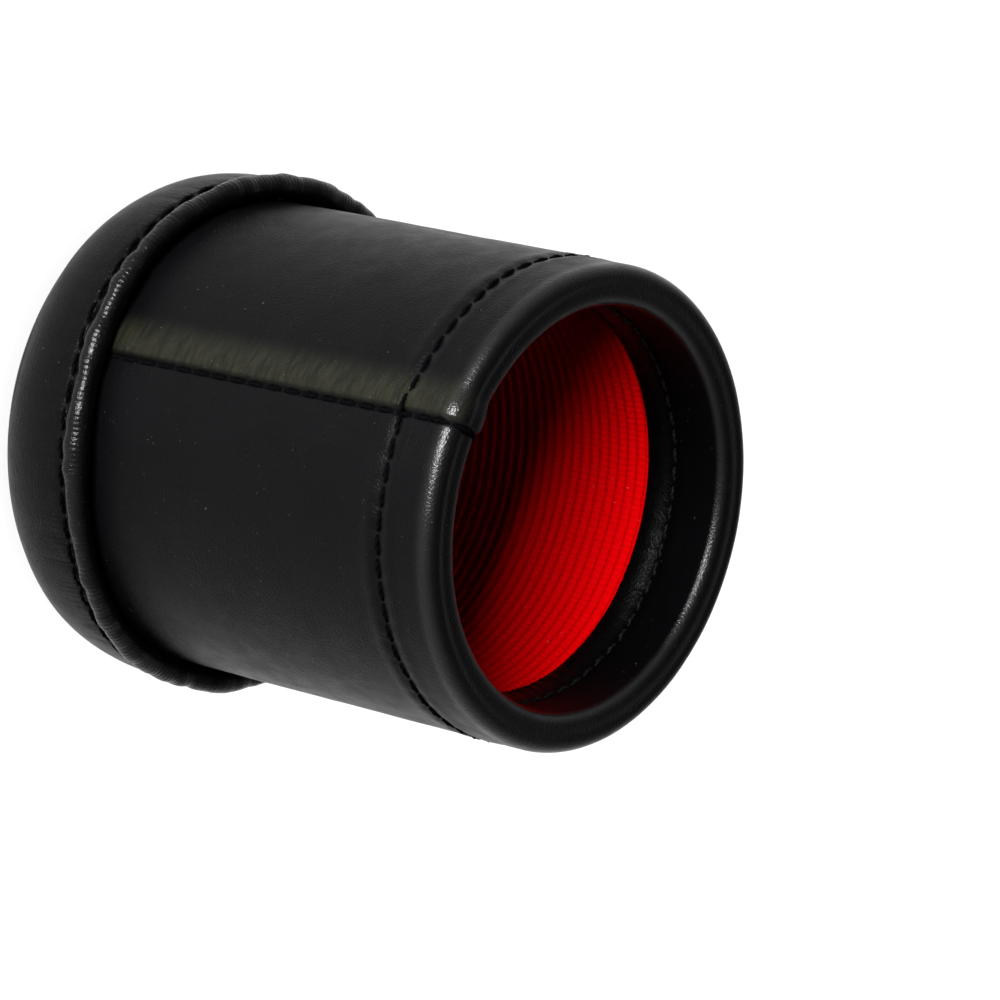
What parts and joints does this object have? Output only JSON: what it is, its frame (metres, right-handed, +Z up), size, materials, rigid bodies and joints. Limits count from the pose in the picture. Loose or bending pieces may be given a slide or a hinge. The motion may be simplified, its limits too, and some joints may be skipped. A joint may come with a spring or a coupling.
{
  "type": "leather dice cup",
  "caption": "Round leather-covered dice cup with a stitched rim, ribbed cloth lining and a padded, stitched leather boot round its foot.",
  "frame": {"origin": "centre of the flat face of the bottom disc that the cup stands on", "axes": "+Z up the cup's axis from the foot to the mouth; the side seam of the leather faces -Y"},
  "size_m": [0.0918, 0.0918, 0.1029],
  "materials": {
    "body_leather": "black, fine grain, low sheen",
    "boot_leather": "black, fine grain, puckered along the stitches",
    "sole_leather": "black, matt",
    "red_cloth": "ribbed round the cup, matt",
    "tube_board": "raw grey-brown board, hidden",
    "foam": "soft padding, hidden",
    "cotton_cord": "plain cotton cord, hidden",
    "black_thread": "waxed black thread"
  },
  "bodies": {
    "root": {"body_wrap": "body_leather", "core_tube": "tube_board", "lining_sleeve": "red_cloth", "lining_floor": "red_cloth", "floor_board": "tube_board", "foot_padding": "foam", "boot_cover": "boot_leather", "piping_cord": "cotton_cord", "bottom_disc": "sole_leather", "rim_needle_thread": "black_thread", "rim_bobbin_thread": "black_thread", "boot_thread": "black_thread", "side_seam_thread": "black_thread"}
  },
  "joints": []
}
